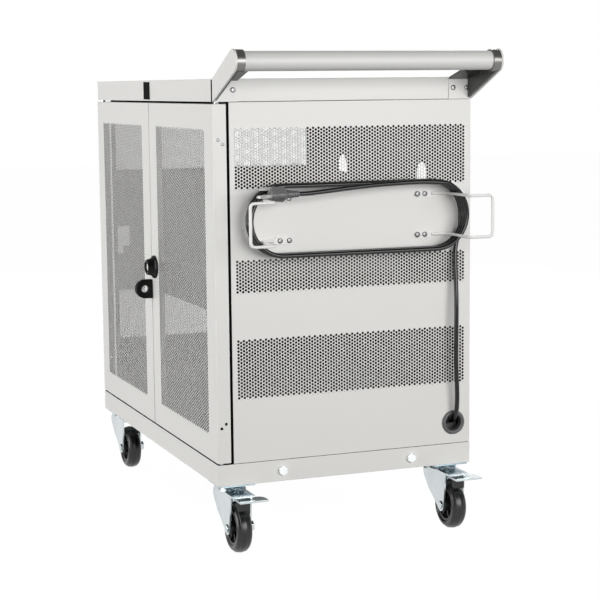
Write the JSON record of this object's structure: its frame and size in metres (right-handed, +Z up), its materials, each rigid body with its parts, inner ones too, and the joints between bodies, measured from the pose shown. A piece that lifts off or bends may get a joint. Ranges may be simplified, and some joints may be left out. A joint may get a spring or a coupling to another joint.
{
  "type": "laptop charging cart",
  "caption": "Wheeled steel cabinet with perforated sides and doors that stores and charges laptops, with a push handle and its mains lead wound on hooks.",
  "frame": {"origin": "on the floor, in the middle of the object's own box, mains lead left out", "axes": "+Z up, doors facing -Y, push handle at the +X end"},
  "size_m": [0.7804, 0.4468, 0.743],
  "materials": {
    "cabinet_paint": "light grey powder coat, satin",
    "handle_paint": "silver grey paint, satin",
    "hook_wire": "light grey powder coat on bent wire",
    "zinc": "bright zinc plate",
    "tyre_rubber": "matt black",
    "black_plastic": "satin black",
    "black_metal": "black paint",
    "dark_moulding": "satin charcoal",
    "grey_moulding": "matt grey",
    "cord_jacket": "satin black jacket",
    "nickel": "nickel plated"
  },
  "bodies": {
    "cabinet": {"base_tray": "cabinet_paint", "top_cover": "cabinet_paint", "handle_side_panel": "cabinet_paint", "far_side_panel": "cabinet_paint", "rear_panel": "cabinet_paint", "middle_shelf": "cabinet_paint", "handle_bracket_front": "cabinet_paint", "handle_bracket_rear": "cabinet_paint", "handle_tube": "handle_paint", "cord_hook_front": "hook_wire", "cord_hook_rear": "hook_wire", "base_bolt_1": "zinc", "base_bolt_2": "zinc", "base_bolt_3": "zinc", "base_bolt_4": "zinc", "left_lower_hinge_pin": "zinc", "left_upper_hinge_pin": "zinc", "right_lower_hinge_pin": "zinc", "right_upper_hinge_pin": "zinc", "caster_plate_handle_front": "zinc", "caster_plate_handle_rear": "zinc", "caster_plate_far_front": "zinc", "caster_plate_far_rear": "zinc", "upper_divider_rack": "black_plastic", "lower_divider_rack": "black_plastic", "badge_plate": "black_plastic", "handle_end_front": "dark_moulding", "handle_end_rear": "dark_moulding", "power_strip": "grey_moulding", "cable_grommet": "grey_moulding", "cord_drop": "cord_jacket", "cord_hank": "cord_jacket", "plug_body": "cord_jacket", "plug_prongs": "nickel"},
    "left_door": {"left_door": "cabinet_paint", "left_padlock_tab": "black_metal"},
    "right_door": {"right_door": "cabinet_paint", "right_padlock_tab": "black_metal"},
    "lock": {"lock_knob": "black_plastic", "lock_cam": "zinc"},
    "rocker": {"power_switch": "black_plastic"},
    "swivel_handle_front": {"fork_handle_front": "zinc", "axle_handle_front": "zinc"},
    "wheel_handle_front": {"tyre_handle_front": "tyre_rubber", "hub_handle_front": "black_plastic"},
    "swivel_handle_rear": {"fork_handle_rear": "zinc", "axle_handle_rear": "zinc"},
    "wheel_handle_rear": {"tyre_handle_rear": "tyre_rubber", "hub_handle_rear": "black_plastic"},
    "swivel_far_front": {"fork_far_front": "zinc", "axle_far_front": "zinc"},
    "wheel_far_front": {"tyre_far_front": "tyre_rubber", "hub_far_front": "black_plastic"},
    "swivel_far_rear": {"fork_far_rear": "zinc", "axle_far_rear": "zinc"},
    "wheel_far_rear": {"tyre_far_rear": "tyre_rubber", "hub_far_rear": "black_plastic"},
    "brake_handle_front": {"brake_pedal_handle_front": "zinc"},
    "brake_handle_rear": {"brake_pedal_handle_rear": "zinc"}
  },
  "joints": [
    {"name": "left_door_hinge", "type": "hinge", "parent": "cabinet", "child": "left_door", "pos_m": [-0.37685, -0.1861, 0.4], "axis": [0, 0, -1], "range_deg": [0, 180]},
    {"name": "right_door_hinge", "type": "hinge", "parent": "cabinet", "child": "right_door", "pos_m": [0.27515, -0.1861, 0.4], "axis": [0, 0, 1], "range_deg": [0, 180]},
    {"name": "lock_turn", "type": "hinge", "parent": "right_door", "child": "lock", "pos_m": [-0.03035, -0.1951, 0.4005], "axis": [0, 1, 0], "range_deg": [0, 90]},
    {"name": "switch_rock", "type": "hinge", "parent": "cabinet", "child": "rocker", "pos_m": [0.22915, 0.1784, 0.1688], "axis": [0, 0, 1], "range_deg": [-8, 8]},
    {"name": "swivel_handle_front_turn", "type": "hinge", "parent": "cabinet", "child": "swivel_handle_front", "pos_m": [0.25215, -0.1641, 0.095], "axis": [0, 0, 1], "continuous": true},
    {"name": "wheel_handle_front_spin", "type": "hinge", "parent": "swivel_handle_front", "child": "wheel_handle_front", "pos_m": [0.27915, -0.1641, 0.0375], "axis": [0, 1, 0], "continuous": true},
    {"name": "swivel_handle_rear_turn", "type": "hinge", "parent": "cabinet", "child": "swivel_handle_rear", "pos_m": [0.25215, 0.1889, 0.095], "axis": [0, 0, 1], "continuous": true},
    {"name": "wheel_handle_rear_spin", "type": "hinge", "parent": "swivel_handle_rear", "child": "wheel_handle_rear", "pos_m": [0.27915, 0.1889, 0.0375], "axis": [0, 1, 0], "continuous": true},
    {"name": "swivel_far_front_turn", "type": "hinge", "parent": "cabinet", "child": "swivel_far_front", "pos_m": [-0.35385, -0.1641, 0.095], "axis": [0, 0, 1], "continuous": true},
    {"name": "wheel_far_front_spin", "type": "hinge", "parent": "swivel_far_front", "child": "wheel_far_front", "pos_m": [-0.32685, -0.1641, 0.0375], "axis": [0, 1, 0], "continuous": true},
    {"name": "swivel_far_rear_turn", "type": "hinge", "parent": "cabinet", "child": "swivel_far_rear", "pos_m": [-0.35385, 0.1889, 0.095], "axis": [0, 0, 1], "continuous": true},
    {"name": "wheel_far_rear_spin", "type": "hinge", "parent": "swivel_far_rear", "child": "wheel_far_rear", "pos_m": [-0.32685, 0.1889, 0.0375], "axis": [0, 1, 0], "continuous": true},
    {"name": "brake_handle_front_press", "type": "hinge", "parent": "swivel_handle_front", "child": "brake_handle_front", "pos_m": [0.28815, -0.1641, 0.082], "axis": [0, 1, 0], "range_deg": [0, 8]},
    {"name": "brake_handle_rear_press", "type": "hinge", "parent": "swivel_handle_rear", "child": "brake_handle_rear", "pos_m": [0.28815, 0.1889, 0.082], "axis": [0, 1, 0], "range_deg": [0, 8]}
  ]
}
